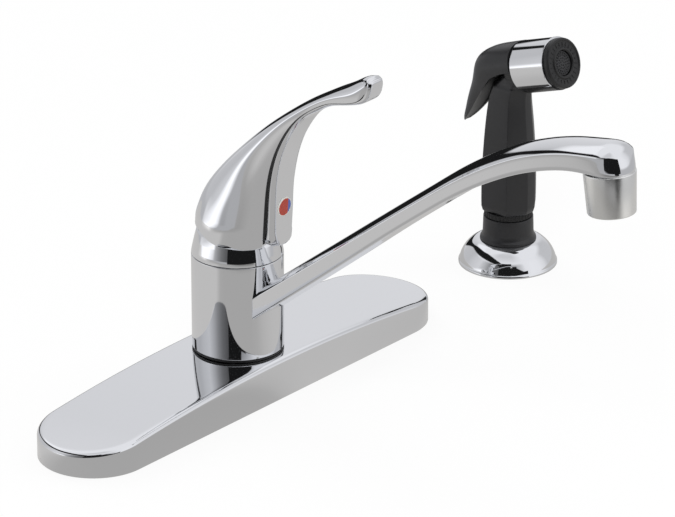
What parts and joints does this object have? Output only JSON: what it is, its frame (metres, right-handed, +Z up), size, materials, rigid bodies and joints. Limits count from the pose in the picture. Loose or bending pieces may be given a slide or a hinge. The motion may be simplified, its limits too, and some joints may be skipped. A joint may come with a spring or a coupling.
{
  "type": "side spray kitchen faucet",
  "caption": "Single-lever kitchen faucet on a long deck plate, with a low swinging spout and a separate side spray in its own holder.",
  "frame": {"origin": "where the hub's axis meets the top of the sink deck", "axes": "+X along the deck plate towards the side spray, -Y towards the sink bowl along the spout, +Z up"},
  "size_m": [0.3576, 0.2561, 0.2309],
  "materials": {
    "chrome": "polished",
    "brass": "machined",
    "seal_rubber": "matte",
    "steel": "plain",
    "black_plastic": "satin",
    "white_plastic": "satin",
    "glide_plastic": "satin",
    "button_red": "gloss",
    "spray_chrome": "polished"
  },
  "bodies": {
    "base": {"deck_plate": "chrome", "base_gasket": "black_plastic", "valve_body": "brass", "shank_washers": "steel", "shank_nuts": "brass", "diverter": "white_plastic", "valve_seats": "seal_rubber", "seat_springs": "steel", "spout_rings": "seal_rubber", "glide_ring": "glide_plastic", "cam": "white_plastic", "cap": "chrome", "adjusting_ring": "brass", "spray_flange": "chrome", "spray_holder": "black_plastic", "holder_washer": "seal_rubber", "holder_nut": "black_plastic"},
    "spout_arm": {"spout": "chrome", "aerator_shell": "chrome", "aerator_screen": "white_plastic", "aerator_washer": "seal_rubber"},
    "packing": {"packing_ring": "seal_rubber"},
    "lever": {"handle": "chrome", "ball": "steel", "set_screw": "steel", "temperature_button": "button_red"},
    "spray": {"spray_body": "black_plastic", "head_sleeve": "spray_chrome", "nozzle_ring": "black_plastic", "spray_face": "black_plastic", "hose_coupling": "black_plastic", "trigger_pin": "steel"},
    "spray_lever": {"trigger": "black_plastic"},
    "plunger": {"spray_plunger": "white_plastic"}
  },
  "joints": [
    {"name": "spout_swivel", "type": "hinge", "parent": "base", "child": "spout_arm", "pos_m": [0, 0, 0.045], "axis": [0, 0, 1], "range_deg": [-60, 60]},
    {"name": "handle_turn", "type": "hinge", "parent": "base", "child": "packing", "pos_m": [0, 0, 0.074], "axis": [0, 0, 1], "range_deg": [-45, 45]},
    {"name": "handle_lift", "type": "hinge", "parent": "packing", "child": "lever", "pos_m": [0, 0, 0.074], "axis": [-1, 0, 0], "range_deg": [0, 20]},
    {"name": "spray_lift", "type": "slide", "parent": "base", "child": "spray", "axis": [0, 0, 1], "range_m": [0, 0.1]},
    {"name": "spray_trigger", "type": "hinge", "parent": "spray", "child": "spray_lever", "pos_m": [0.2032, -0.005, 0.1075], "axis": [-1, 0, 0], "range_deg": [0, 7], "stiffness_Nm_per_rad": 1.5, "springref_deg": -4.58},
    {"name": "plunger_push", "type": "slide", "parent": "spray", "child": "plunger", "axis": [0, -1, 0], "range_m": [0, 0.0011]}
  ],
  "couplings": [
    {"joint": "plunger_push", "follows": "spray_trigger", "m_per_rad": 0.0085}
  ]
}
